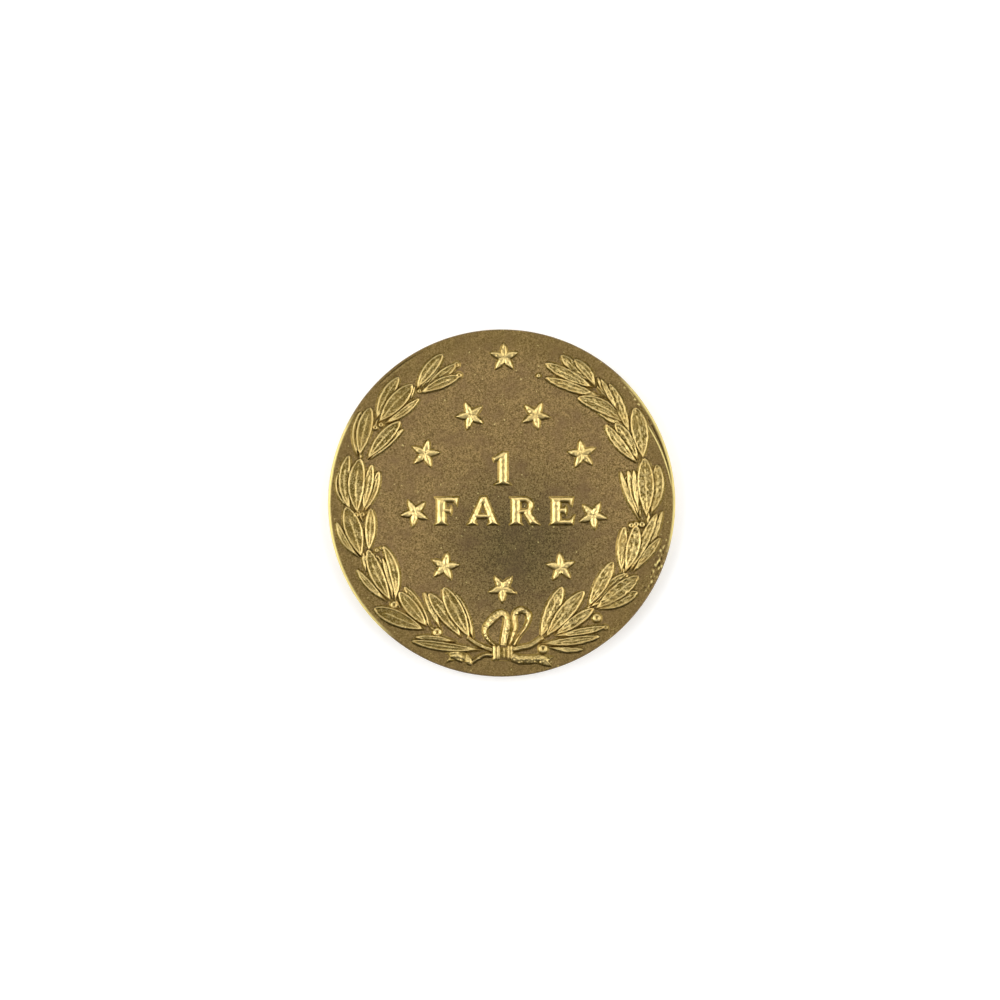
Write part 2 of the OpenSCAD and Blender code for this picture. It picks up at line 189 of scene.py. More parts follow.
# A berry is x, y and radius.
LEFT_BERRIES = [
    (-4.4, -8.55, 0.33),
    (-7.25, -6.75, 0.3),
    (-9.2, -3.65, 0.22),
    (-8.4, -3.12, 0.17),
    (-8.08, -3.0, 0.14),
    (-9.75, -0.8, 0.22),
    (-9.36, -0.76, 0.2),
    (-8.5, 5.0, 0.2),
    (-8.12, 5.18, 0.2),
    (-5.58, 7.4, 0.16),
    (-5.25, 7.4, 0.16),
    (-3.12, 9.15, 0.24),
    (-2.95, 8.45, 0.23),
]
RIGHT_BERRIES = [
    (2.6, -9.65, 0.35),
    (6.15, -7.6, 0.33),
    (6.72, -8.22, 0.2),
    (8.44, -1.48, 0.21),
    (8.76, -1.4, 0.21),
    (9.15, -1.42, 0.23),
    (2.3, 8.42, 0.16),
    (3.0, 9.12, 0.16),
]
# A star is x, y and the angle of one tip in degrees.
STARS = [
    (0.02, 9.65, 91),
    (-2.19, 5.78, 39.5),
    (2.1, 5.8, 64.6),
    (-5.2, 3.25, 77.5),
    (5.18, 3.22, 98),
    (-5.88, -0.65, 45.7),
    (5.9, -0.82, 61),
    (-3.9, -4.2, 79.3),
    (3.77, -4.26, 95),
    (-0.07, -5.64, 51.4),
]
STAR_TIP_R = 0.98  # from its centre to a tip
STAR_ARM = 0.28  # half the width of a star's arm where it is widest
STAR_NECK = 0.36  # distance from the centre over which an arm widens
# A stem is its width and points along its middle.
LEFT_STEM = (0.3, [(-0.75, -9.72), (-1.3, -9.52), (-1.8, -9.28), (-2.4, -8.85)])
RIGHT_STEM = (0.38, [(0.6, -9.68), (1.2, -9.55), (1.8, -9.4), (2.6, -8.85)])
# A ribbon is a line of x, y and width.
LEFT_LOOP = [
    (-0.55, -9.45, 0.2), (-0.95, -9.1, 0.22), (-1.22, -8.7, 0.28), (-1.2, -8.25, 0.38),
    (-0.9, -7.85, 0.5), (-0.5, -7.45, 0.55), (-0.1, -7.28, 0.42), (0.16, -7.55, 0.4),
    (0.2, -8.0, 0.5), (0.1, -8.6, 0.52), (-0.05, -9.4, 0.44),
]
RIGHT_LOOP = [
    (0.36, -9.4, 0.24), (0.58, -8.8, 0.28), (0.74, -8.2, 0.32), (0.68, -7.6, 0.36),
    (0.85, -7.2, 0.42), (1.25, -7.08, 0.4), (1.62, -7.35, 0.38), (1.62, -7.8, 0.3),
    (1.4, -8.3, 0.25), (1.02, -8.8, 0.24), (0.68, -9.4, 0.22),
]
LEFT_TAIL = [
    (-0.7, -10.05, 0.3), (-1.25, -10.05, 0.28), (-1.7, -10.25, 0.28), (-2.1, -10.55, 0.24),
]
LEFT_TAIL_END = [
    (-2.05, -10.68, 0.2), (-2.35, -10.42, 0.55), (-2.75, -10.15, 0.72), (-3.3, -10.1, 0.6),
    (-3.9, -10.22, 0.66),
]
RIGHT_TAIL = [
    (0.5, -10.15, 0.5), (1.0, -10.32, 0.6), (1.6, -10.35, 0.56), (2.2, -10.3, 0.56),
    (2.7, -10.4, 0.66), (3.3, -10.5, 0.66),
]
KNOT_LOW = (-0.75, -10.4)
KNOT_HIGH = (0.6, -9.4)
# A groove of the knot is its place, half its width, and depth.
KNOT_GROOVES = [(-0.5, 0.03, 0.09), (-0.02, 0.24, 0.15), (0.42, 0.03, 0.09)]
KNOT_CORD = (0.02, 0.07, 0.06)  # place, half width and height of the cord in the wide groove

# Outlines that letters share: a foot's right side, a stem's left side, and two arms.
FOOT = [(0.96, 0), (0.82, 0.22)]
STEM_LEFT = [(0.06, 1.85), (0.2, 1.63), (0.2, 0.22), (0.06, 0)]
ARMS = [
    (0.82, 0.78), (1.02, 0.78), (1.17, 0.6), (1.25, 0.95), (1.17, 1.3), (1.02, 1.12),
    (0.82, 1.12), (0.82, 1.5), (1.3, 1.5), (1.55, 1.2), (1.68, 1.85),
]


def arc(centre, radius, start, stop, step=15):
    """Points along an arc between two angles in degrees."""
    turns = [math.radians(a) for a in range(start, stop + 1, step)]
    return [(centre[0] + radius * math.cos(a), centre[1] + radius * math.sin(a)) for a in turns]


# A letter is the place of its lower left corner, and rings of points from there.
LETTERS = {
    "numeral_1": (
        (-0.95, 1.2),
        [[(0.3, 0), (1.5, 0), (1.22, 0.28), (1.22, 2.2), (0.85, 2.2), (0.2, 1.8), (0.3, 1.5),
          (0.6, 1.62), (0.6, 0.28)]],
    ),
    "letter_f": ((-4.65, -1.45), [FOOT + ARMS + STEM_LEFT]),
    "letter_a": (
        (-2.45, -1.45),
        [
            [(0, 0), (0.72, 0), (0.6, 0.2), (0.68, 0.42), (1.4, 0.42), (1.47, 0.2), (1.36, 0),
             (2.14, 0), (2, 0.2), (1.32, 1.9), (0.92, 1.9), (0.14, 0.2)],
            [(0.8, 0.74), (1.3, 0.74), (1.07, 1.36)],
        ],
    ),
    "letter_r": (
        (0.3, -1.45),
        [
            FOOT + [(0.82, 0.73), (1, 0.73), (1.45, 0), (2.12, 0), (1.95, 0.2), (1.55, 0.79)]
            + arc((1.12, 1.29), 0.56, -45, 90) + STEM_LEFT,
            [(0.82, 1.52), (0.82, 1.06)] + arc((1.08, 1.29), 0.23, -90, 90),
        ],
    ),
    "letter_e": (
        (2.95, -1.45),
        [[(1.64, 0), (1.74, 0.68), (1.4, 0.36), (0.82, 0.36)] + ARMS + STEM_LEFT],
    ),
}


# ---------------------------------------------------------------- smooth noise
RIPPLE_WAVES = 9
RIPPLE_PITCH = (1.2, 2.6)  # shortest and longest wave, in sizes


def ripple(x, y, size, seed):
    """Smooth noise between about -1 and 1, with bumps about size millimetres across."""
    rng = np.random.default_rng(seed)
    total = np.zeros(np.broadcast(x, y).shape)
    for _ in range(RIPPLE_WAVES):
        angle = rng.uniform(0, math.tau)
        pitch = math.tau / (size * rng.uniform(*RIPPLE_PITCH))
        phase = rng.uniform(0, math.tau)
        total += np.sin(pitch * (x * math.cos(angle) + y * math.sin(angle)) + phase)
    return total / math.sqrt(RIPPLE_WAVES)


# ---------------------------------------------------------------- meshes
def join(shells):
    """Closed shells, each of vertices and faces, as one mesh."""
    verts, faces, count = [], [], 0
    for shell_verts, shell_faces in shells:
        verts.append(np.asarray(shell_verts, float))
        faces += [tuple(int(i) + count for i in face) for face in shell_faces]
        count += len(shell_verts)
    return np.concatenate(verts), faces


def piece(name, shells, material, slot, *nodes):
    """A smooth-shaded object from shells in millimetres; it rides on the token's one body."""
    verts, faces = join(shells)
    mesh = bpy.data.meshes.new(name)
    mesh.from_pydata((verts * MM).tolist(), [], faces)
    mesh.validate()
    mesh.update()
    mesh.shade_smooth()
    mesh.materials.append(material)
    obj = bpy.data.objects.new(name, mesh)
    bpy.context.scene.collection.objects.link(obj)
    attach(obj, "root")
    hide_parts(*nodes)


def on_token(xy, z):
    """Points of the design, with heights above the field, moved to where they are struck."""
    x, y = xy[..., 0] + STRIKE[0], xy[..., 1] + STRIKE[1]
    return np.stack([x * K, y * K, FIELD_Z + z], -1).reshape(-1, 3)


def grid_shell(low, high, height, step=STEP):
    """Closed shell over the part of a grid where height(x, y), above the field, is above the skirt."""
    nx = max(2, math.ceil((high[0] - low[0]) / step))
    ny = max(2, math.ceil((high[1] - low[1]) / step))
    x, y = np.meshgrid(np.linspace(low[0], high[0], nx + 1), np.linspace(low[1], high[1], ny + 1))
    z = height(x, y)
    corner_max = np.maximum.reduce([z[:-1, :-1], z[1:, :-1], z[:-1, 1:], z[1:, 1:]])
    keep = corner_max > SKIRT
    z = np.maximum(z, SKIRT)
    index = np.arange(z.size).reshape(z.shape)
    a, b = index[:-1, :-1][keep], index[:-1, 1:][keep]
    c, d = index[1:, 1:][keep], index[1:, :-1][keep]
    used, flat = np.unique(np.stack([a, b, c, d], 1), return_inverse=True)
    quads = flat.reshape(-1, 4)
    top = on_token(np.stack([x.ravel()[used], y.ravel()[used]], 1), z.ravel()[used])
    under = top.copy()
    under[:, 2] = FIELD_Z + UNDERSIDE
    n = len(used)
    edges = np.concatenate([quads[:, [i, (i + 1) % 4]] for i in range(4)])
    present = set(map(tuple, edges.tolist()))
    rim = [(p, q) for p, q in present if (q, p) not in present]
    faces = quads.tolist() + (quads[:, ::-1] + n).tolist()
    faces += [(q, p, p + n, q + n) for p, q in sorted(rim)]
    return np.concatenate([top, under]), faces


# Lines of vertices along a strip's outline, by how far they are inside it.
OUTLINE_LINES = np.array([-0.085, -0.064, 0, 0.025, 0.04, 0.07, 0.105, 0.14, 0.185, 0.2])
OUTLINE_SHARE = 0.8  # the most of a narrow strip's half width that these lines take up
MIDDLE_STEP = 0.05  # spacing of the lines between them


def places_across(half):
    """Places across a strip, row by row: close together near both outlines and even between them."""
    fit = np.minimum(1, OUTLINE_SHARE * half / OUTLINE_LINES[-1])[:, None]
    inset = np.where(OUTLINE_LINES > 0, OUTLINE_LINES * fit, OUTLINE_LINES)
    left = inset - half[:, None]
    inner = half[:, None] - OUTLINE_LINES[-1] * fit
    count = max(2, math.ceil(2 * inner.max() / MIDDLE_STEP))
    share = np.linspace(-1, 1, count + 1)[1:-1]
    return np.concatenate([left, inner * share, -left[:, ::-1]], 1)


def strip_shell(middle, side, half, height):
    """Closed shell that follows a line. height(x, y, t, s, d) is the height above the field at a share
    t of the length, a share s across from -1 to 1, and d millimetres inside the outline."""
    rows = len(middle)
    across = places_across(half)
    columns = across.shape[1] - 1
    t = np.linspace(0, 1, rows)[:, None] + 0 * across
    d = half[:, None] - np.abs(across)
    s = across / half[:, None]
    xy = middle[:, None, :] + side[:, None, :] * across[:, :, None]
    z = np.maximum(height(xy[:, :, 0], xy[:, :, 1], t, s, d), SKIRT)
    top = on_token(xy, z)
    under = on_token(xy[:, [0, -1]], np.full((rows, 2), UNDERSIDE))
    n = rows * (columns + 1)
    faces = []
    for i in range(rows - 1):
        start = i * (columns + 1)
        ahead = start + columns + 1
        faces += [(start + j + 1, start + j, ahead + j, ahead + j + 1) for j in range(columns)]
        left, right = n + 2 * i, n + 2 * i + 1
        faces.append((left, right, right + 2, left + 2))
        faces.append((start, left, left + 2, ahead))
        faces.append((right, start + columns, ahead + columns, right + 2))
    last = (rows - 1) * (columns + 1)
    faces.append([*range(columns + 1), n + 1, n])
    faces.append([*range(last + columns, last - 1, -1), n + 2 * rows - 2, n + 2 * rows - 1])
    return np.concatenate([top, under]), faces


def smooth_path(points, spacing):
    """Points along a Catmull-Rom curve through the given ones, with all their values."""
    p = np.array([points[0], *points, points[-1]], float)
    line = []
    for i in range(1, len(p) - 2):
        a, b, c, d = p[i - 1 : i + 3]
        count = max(2, math.ceil(np.linalg.norm(c[:2] - b[:2]) / spacing))
        for t in np.arange(count) / count:
            line.append(
                0.5 * (2 * b + (c - a) * t + (2 * a - 5 * b + 4 * c - d) * t**2
                       + (3 * b - a - 3 * c + d) * t**3)
            )
    line.append(p[-1])
    return np.array(line)


def steps_left(line):
    """Unit steps to the left of a line of x, y."""
    run = np.gradient(line, axis=0)
    run /= np.linalg.norm(run, axis=1)[:, None]
    return np.stack([-run[:, 1], run[:, 0]], 1)


# ---------------------------------------------------------------- profiles
def rounded(d, half, peak):
    """Height of a rounded ridge d millimetres inside its outline; it is level from half inwards."""
    share = np.clip(d / half, -1, 1)
    return peak * (1 - (1 - share) ** 2)


def wall(d, top):
    """The short steep side of a device, d millimetres inside its outline, with a low dark shelf at its
    foot that is painted shade.
    """
    return np.where(d > -SHADE_SHELF_W, np.clip(WALL_SLOPE * d, SHADE_SHELF_H, top), SKIRT)


def tent(x, centre, half):
    """A straight-sided ridge, 1 high, that is 0 from half away onwards."""
    return np.maximum(0, 1 - np.abs(x - centre) / half)


def bump(x, centre, width):
    """A smooth ridge, 1 high."""
    return np.exp(-(((x - centre) / width) ** 2))


def polygon_depth(x, y, rings):
    """Distance inside a shape, negative outside it. A ring inside another is a hole."""
    near = np.full(x.shape, np.inf)
    inside = np.zeros(x.shape, bool)
    for ring in rings:
        for (x0, y0), (x1, y1) in zip(ring, ring[1:] + ring[:1]):
            ex, ey = x1 - x0, y1 - y0
            along = np.clip(((x - x0) * ex + (y - y0) * ey) / (ex * ex + ey * ey), 0, 1)
            near = np.minimum(near, np.hypot(x - x0 - along * ex, y - y0 - along * ey))
            if y0 != y1:
                crosses = (y0 > y) != (y1 > y)
                inside ^= crosses & (x < x0 + ex * (y - y0) / ey)
    return np.where(inside, near, -near)


# ---------------------------------------------------------------- leaves
LEAF_STEP = 0.045  # spacing of a leaf's rows of vertices
LEAF_WIDEST = 0.57  # share of its length where a leaf is widest
LEAF_SWELL = 0.9  # powers that shape its outline before and after that place
LEAF_CLOSE = 0.6
LEAF_THIN = 0.02  # half its width at its ends
BLADE = {"left": 0.057, "right": 0.067}  # height of its flat blade on each branch
LIP_INSET = 0.105  # its raised outline: how far inside the edge, half its width and its height
LIP_HALF = 0.08
LIP_H = 0.075
RIB_HALF = 0.06  # its midrib, and the share of the length where that has sunk into the blade
RIB_H = 0.045
RIB_END = 0.9
RIB_FADE = 6  # how fast it sinks, in shares of its height for one of the length
DETAIL_INSET = 0.01  # all of these start this far inside the outline
KNOB_INSET = 0.15  # the swelling near its tip
KNOB_W = 0.09
KNOB_H = 0.03
VEIN_SIZE = 0.09  # its veins, which change VEIN_SHARE times as fast along the leaf as across it
VEIN_SHARE = 0.4
VEIN_H = {"left": 0.008, "right": 0.018}
WAVE_SIZE = 0.5  # its gentle waves
WAVE_H = 0.008
LEAF_END = 0.05  # length over which it drops to the field at its ends
GAP = 0.02  # the groove beside a leaf that covers it: how far from that leaf, its width and depth
GAP_W = 0.03
GAP_H = 0.05


def leaf_line(leaf):
    """Middle line of a leaf from base to tip, unit steps to its left, and half its width."""
    base, tip = np.array(leaf[0], float), np.array(leaf[1], float)
    width, bow = leaf[2], leaf[3]
    run = tip - base
    length = np.linalg.norm(run)
    square = np.array([-run[1], run[0]]) / length
    t = np.linspace(0, 1, max(24, math.ceil(length / LEAF_STEP)))
    middle = base + run * t[:, None] + square * (bow * 4 * t * (1 - t))[:, None]
    swell = np.sin(np.clip(t / LEAF_WIDEST, 0, 1) * math.pi / 2) ** LEAF_SWELL
    close = (1 - np.clip((t - LEAF_WIDEST) / (1 - LEAF_WIDEST), 0, 1) ** 2) ** LEAF_CLOSE
    half = width / 2 * swell * close
    return middle, steps_left(middle), np.maximum(half, LEAF_THIN), length


def leaf_outline(leaf):
    """Its outline as a ring of points, from every fourth row."""
    middle, side, half, _ = leaf_line(leaf)
    reach = side * half[:, None]
    return [*(middle + reach)[::4].tolist(), *(middle - reach)[::-4].tolist()]


def leaf_shell(leaf, in_front, side_name, seed):
    """A blade with a raised outline and a midrib. in_front holds the outlines of leaves that cover it."""
    middle, side, half, length = leaf_line(leaf)

    def height(x, y, t, s, d):
        across = s * half[:, None]
        lip = LIP_H * tent(d, LIP_INSET, LIP_HALF)
        rib = RIB_H * tent(across, 0, RIB_HALF) * np.clip((RIB_END - t) * RIB_FADE, 0, 1)
        veins = VEIN_H[side_name] * ripple(VEIN_SHARE * t * length, across, VEIN_SIZE, seed)
        waves = WAVE_H * ripple(x, y, WAVE_SIZE, seed + 1)
        knob = KNOB_H * bump((1 - t) * length, KNOB_INSET, KNOB_W)
        detail = (lip + rib + veins + waves + knob) * (d > DETAIL_INSET)
        z = wall(d, BLADE[side_name]) + detail
        ends = np.clip(np.minimum(t, 1 - t) * length / LEAF_END, 0, 1)
        z = z * ends + SKIRT * (1 - ends)
        for ring in in_front:
            over = polygon_depth(x, y, [ring])
            z = np.where(over > GAP, SKIRT, z - GAP_H * bump(over, -GAP, GAP_W) * (z > 0))
        return z

    return strip_shell(middle, side, half, height)


# ---------------------------------------------------------------- ribbon, stems and berries
RIBBON_STEP = 0.05  # spacing of a ribbon's rows
RIBBON_EDGE = 0.04  # height of its thin edges
FOLD_LENGTH = 0.95  # between one fold of a ribbon and the next
FOLD_LEAN = 0.25  # how far a fold leans over half the width, in fold lengths
CLOTH_SIZE = 0.13  # the uneven surface of the ribbon
CLOTH_H = 0.02
RIBBON_SPARE = 0.01  # how far its ridge stays below the CAD ribbon's top
RIBBON_END = 0.06  # length over which it drops to the field at its ends
STEM_STEP = 0.06  # spacing of a stem's rows
BARK_SIZE = 0.18  # its uneven surface
BARK_H = 0.012
BARK_INSET = 0.04
SPLIT_PLACE = 0.1  # the groove along a stem, as shares of half its width, and of its height
SPLIT_HALF = 0.35
SPLIT_DEPTH = 0.35
BERRY_H = 0.85  # the most that a berry stands up, and its other sizes, as shares of its radius
BERRY_SLOPE = 0.7
HOLLOW_W = 0.34
HOLLOW_DEPTH = 0.85  # depth of the hollow in its middle, as a share of its height
BERRY_STEP = 0.03
BERRY_MARGIN = 0.1


def ribbon_shell(path, tallest, crest, folds, notch, seed):
    """A band whose ridge runs at crest, from -1 on its right edge to 1 on its left. folds is the
    height of the folds across it, and notch is how deep its far end is forked."""
    line = smooth_path(path, RIBBON_STEP)
    middle, half = line[:, :2], line[:, 2] / 2
    length = np.linalg.norm(np.diff(middle, axis=0), axis=1).sum()

    def height(x, y, t, s, d):
        slope = np.where(s > crest, (1 - s) / (1 - crest), (1 + s) / (1 + crest))
        body = RIBBON_EDGE + (tallest - RIBBON_SPARE - folds - RIBBON_EDGE) * np.clip(slope, 0, 1)
        body = body + folds * np.sin(math.tau * (t * length / FOLD_LENGTH + FOLD_LEAN * s))
        z = np.minimum(wall(d, tallest), body + CLOTH_H * ripple(x, y, CLOTH_SIZE, seed))
        to_end = (1 - t) * length - notch * (1 - np.abs(s)) if notch else 1 + 0 * t
        ends = np.clip(np.minimum(t * length, to_end) / RIBBON_END, 0, 1)
        return z * ends + SKIRT * (1 - ends)

    return strip_shell(middle, steps_left(middle), half, height)


def stem_shell(path, peak, seed):
    """A round stem with a groove along it."""
    width, points = path
    middle = smooth_path(points, STEM_STEP)

    def height(x, y, t, s, d):
        split = SPLIT_DEPTH * peak * tent(s, SPLIT_PLACE, SPLIT_HALF)
        bark = BARK_H * ripple(x, y, BARK_SIZE, seed)
        body = rounded(d, width / 2, peak) + (bark - split) * (d > BARK_INSET)
        return np.maximum(body, wall(d, SHADE_SHELF_H))

    return strip_shell(middle, steps_left(middle), np.full(len(middle), width / 2), height)


def berry_shell(x0, y0, radius, tallest):
    """A dome with a hollow in its middle."""
    peak = min(tallest, radius * BERRY_H)

    def height(x, y):
        out = np.hypot(x - x0, y - y0)
        hollow = HOLLOW_DEPTH * peak * bump(out, 0, radius * HOLLOW_W)
        dome = rounded(radius - out, radius * BERRY_SLOPE, peak) - hollow
        return np.maximum(dome, wall(radius - out, SHADE_SHELF_H))

    reach = radius + BERRY_MARGIN
    return grid_shell((x0 - reach, y0 - reach), (x0 + reach, y0 + reach), height, BERRY_STEP)


# ---------------------------------------------------------------- stars, letters and knot
MARGIN = 0.12  # how far a grid goes past its device
BEVEL_INSET = 0.03  # a star's or letter's bevel starts this far inside its outline
STAR_WALL = 0.07  # height of the wall below a star's bevel, and the bevel's width
STAR_BEVEL = 0.18
STAR_RISE = 0.1  # how steeply it rises from there to its middle, which starts at STAR_FLAT
STAR_FLAT = 0.2
STAR_SPARE = 0.035  # how far the bevel's top stays below the CAD star's
STAR_GRAIN_SIZE = 0.17  # its uneven surface
STAR_GRAIN_H = 0.011
ARM_TIP_POWER = 0.65  # powers that shape an arm's outline at its tip and at its neck
ARM_NECK_POWER = 0.4
LETTER_WALL = 0.06
LETTER_BEVEL = 0.26
LETTER_SPARE = 0.02
LETTER_GRAIN_SIZE = 0.18
LETTER_GRAIN_H = 0.008
KNOT_WALL = 0.06
KNOT_BEVEL = 0.3
KNOT_SPARE = 0.02
KNOT_GRAIN_SIZE = 0.16
KNOT_GRAIN_H = 0.012
KNOT_SEED = 7
KNOT_STEP = 0.03
GROOVE_SIDE = 0.04  # width of the slope beside a groove of the knot
KNOT_RIM = 0.02  # its grooves end this far inside its outline


def star_shell(star, peak, seed):
    """Five arms shaped like petals, with bevelled sides and creases where they meet."""
    x0, y0, turn = star

    def height(x, y):
        d = np.full(x.shape, -1.0)
        for i in range(5):
            a = math.radians(turn + 72 * i)
            u = (x - x0) * math.cos(a) + (y - y0) * math.sin(a)
            v = (y - y0) * math.cos(a) - (x - x0) * math.sin(a)
            half = STAR_ARM * np.clip(1 - (u / STAR_TIP_R) ** 2, 0, 1) ** ARM_TIP_POWER
            half = half * np.clip(u / STAR_NECK, 0, 1) ** ARM_NECK_POWER
            arm = np.where(u > 0, np.minimum(half - np.abs(v), STAR_TIP_R - u), -1)
            d = np.maximum(d, arm)
        bevel = rounded(np.clip(d - BEVEL_INSET, 0, 1), STAR_BEVEL, peak - STAR_WALL)
        middle = STAR_RISE * np.clip(d - STAR_FLAT, 0, 1)
        grain = STAR_GRAIN_H * ripple(x, y, STAR_GRAIN_SIZE, seed) * (d > 0)
        return wall(d, STAR_WALL) + bevel + middle + grain

    reach = STAR_TIP_R + MARGIN
    return grid_shell((x0 - reach, y0 - reach), (x0 + reach, y0 + reach), height)


def letter_shell(name, peak, seed):
    """A letter with bevelled sides."""
    (x0, y0), rings = LETTERS[name]

    def height(x, y):
        d = polygon_depth(x - x0, y - y0, rings)
        bevel = rounded(np.clip(d - BEVEL_INSET, 0, 1), LETTER_BEVEL, peak - LETTER_WALL)
        grain = LETTER_GRAIN_H * ripple(x, y, LETTER_GRAIN_SIZE, seed) * (d > 0)
        return wall(d, LETTER_WALL) + bevel + grain

    outer = np.array(rings[0])
    low = outer.min(0) + (x0 - MARGIN, y0 - MARGIN)
    high = outer.max(0) + (x0 + MARGIN, y0 + MARGIN)
    return grid_shell(low, high, height)


def knot_shell(peak):
    """The block where the ribbon is tied, with its grooves and the cord in the widest of them."""

    def height(x, y):
        inside_x = np.minimum(x - KNOT_LOW[0], KNOT_HIGH[0] - x)
        inside_y = np.minimum(y - KNOT_LOW[1], KNOT_HIGH[1] - y)
        d = np.minimum(inside_x, inside_y)
        inside = d > KNOT_RIM
        z = wall(d, KNOT_WALL) + rounded(np.clip(d, 0, 1), KNOT_BEVEL, peak - KNOT_WALL)
        for place, wide, deep in KNOT_GROOVES:
            side = (wide + GROOVE_SIDE - np.abs(x - place)) / GROOVE_SIDE
            z = z - deep * np.clip(side, 0, 1) * inside
        place, wide, high = KNOT_CORD
        in_cord = wide - np.abs(x - place)
        z = z + rounded(in_cord, wide, high) * (in_cord > 0) * inside
        return z + KNOT_GRAIN_H * ripple(x, y, KNOT_GRAIN_SIZE, KNOT_SEED) * inside

    low = (KNOT_LOW[0] - MARGIN, KNOT_LOW[1] - MARGIN)
    high = (KNOT_HIGH[0] + MARGIN, KNOT_HIGH[1] + MARGIN)
    return grid_shell(low, high, height, KNOT_STEP)


# ---------------------------------------------------------------- the disc
DISC_N = 240  # cells along one side of the obverse's grid
BORDER_W = 0.9  # the outer part of the field, which has closer rings
BORDER_RINGS = 22
EDGE_W = 0.07  # least width of the worn edge
# Where the worn edge is wider: an angle and a spread in degrees, and the extra width.
EDGE_WIDER = [(170, 26, 0.12), (212, 22, 0.1), (16, 26, 0.07)]
EDGE_WAVE = 0.01
EDGE_WAVE_SIZE = 1.2
EDGE_WAVE_R = 12  # of the circle along which these waves are taken
EDGE_WAVE_SEED = 5
EDGE_DROP = 0.14  # how far the worn edge falls before it turns down
# The worn edge's profile: a share of its width, and a share of its drop.
EDGE_PROFILE = [(0.06, 0.03), (0.25, 0.22), (0.4, 0.4), (0.52, 0.41), (0.75, 0.66), (0.95, 0.95)]
# The side and the reverse rim below it: how far inside the side, and the level.
SIDE_PROFILE = [
    (0, FIELD_Z - 0.2), (0, 0.9), (0, 0.6), (0, 0.3), (0, 0.1),
    (0.015, 0.045), (0.05, 0.012), (0.1, 0), (0.3, 0), (0.55, 0),
    (RIM_W, 0.01), (RIM_W + 0.07, 0.07), (RIM_W + 0.14, 0.14),
    (RIM_W + 0.2, RECESS_Z), (RIM_W + 0.3, RECESS_Z),
]
FIELD_SINK = 0.004  # the field's waves stay below its nominal level
FIELD_WAVES = [(3.0, 0.003, 11), (0.5, 0.001, 12)]  # size, height and seed
# The second low ridge on the right: degrees between which it rises and sinks, its inset at two
# angles, its height and half width, and the place and half width of the groove outside it.
RIDGE_TURN = [3, 6, 26, 31]
RIDGE_INSET_TURN = [6, 27]
RIDGE_INSET = [0.2, 0.55]
RIDGE_H = 0.05
RIDGE_HALF = 0.07
RIDGE_GROOVE = (0.45, 0.07, 0.08)
SCRATCH_TURN = 128  # the scratch on the upper left, and half its length in degrees
SCRATCH_SPREAD = 11
SCRATCH_POWER = 0.3  # below 1, so that it is almost as deep towards its ends
SCRATCH = [(0.2, 0.07, -0.04), (0.32, 0.06, 0.02)]  # its groove and burr: inset, half width, height
# A rough patch is an angle and a spread in degrees, an inset and a spread, and its strength.
ROUGH = [(-22, 11, 0.35, 0.4, 1), (37, 8, 0.3, 0.15, 0.8)]
ROUGH_SIZE = 0.14
ROUGH_H = 0.035
ROUGH_RISE = 0.002
ROUGH_STRETCH = 0.6  # its bumps change this many times as fast along the edge as across it
ROUGH_SEED = 13


def disc_grid(n):
    """Square grid bent into a unit disc, and the indices of its rim in order."""
    line = np.linspace(-1, 1, n + 1)
    a, b = np.meshgrid(line, line)
    wide = np.abs(a) > np.abs(b)
    safe = np.where(wide, a, b)
    safe = np.where(safe == 0, 1, safe)
    turn = np.where(wide, math.pi / 4 * b / safe, math.pi / 2 - math.pi / 4 * a / safe)
    reach = np.where(wide, a, b)
    x, y = reach * np.cos(turn), reach * np.sin(turn)
    index = np.arange((n + 1) ** 2).reshape(n + 1, n + 1)
    rim = [*index[0, :-1], *index[:-1, -1], *index[-1, :0:-1], *index[:0:-1, 0]]
    corners = [index[:-1, :-1], index[:-1, 1:], index[1:, 1:], index[1:, :-1]]
    quads = np.stack([corner.ravel() for corner in corners], 1)
    return x.ravel(), y.ravel(), quads, np.array(rim)


def angle_bump(angle, centre, spread):
    """A bump over an angle in radians, with its centre and spread in degrees."""
    away = (np.degrees(angle) - centre + 180) % 360 - 180
    return bump(away, 0, spread)


def edge_width(angle):
    """Width of the worn obverse edge; it is widest on the left and on the right."""
    width = EDGE_W + sum(extra * angle_bump(angle, at, spread) for at, spread, extra in EDGE_WIDER)
    along_x, along_y = EDGE_WAVE_R * np.cos(angle), EDGE_WAVE_R * np.sin(angle)
    return width + EDGE_WAVE * ripple(along_x, along_y, EDGE_WAVE_SIZE, EDGE_WAVE_SEED)


def field_level(x, y):
    """The field's gentle waves, the low ridge, the scratch and the rough patches near its edge."""
    radius, angle = np.hypot(x, y), np.arctan2(y, x)
    turn = np.degrees(angle)
    z = FIELD_Z - FIELD_SINK + sum(high * ripple(x, y, size, seed) for size, high, seed in FIELD_WAVES)
    inset = np.interp(turn, RIDGE_INSET_TURN, RIDGE_INSET)
    along = np.interp(turn, RIDGE_TURN, [0, 1, 1, 0])
    share, extra, half = RIDGE_GROOVE
    z = z + RIDGE_H * tent(radius, TOKEN_R - inset, RIDGE_HALF) * along
    z = z - RIDGE_H * tent(radius, TOKEN_R - share * inset - extra, half) * along
    scratch = tent(turn, SCRATCH_TURN, SCRATCH_SPREAD) ** SCRATCH_POWER
    for inset, half, high in SCRATCH:
        z = z + high * tent(radius, TOKEN_R - inset, half) * scratch
    rough = 0
    for at, spread, inset, width, strength in ROUGH:
        rough = rough + strength * angle_bump(angle, at, spread) * bump(radius, TOKEN_R - inset, width)
    along_edge = ROUGH_STRETCH * TOKEN_R * angle
    return z + rough * (ROUGH_H * ripple(along_edge, radius, ROUGH_SIZE, ROUGH_SEED) + ROUGH_RISE)


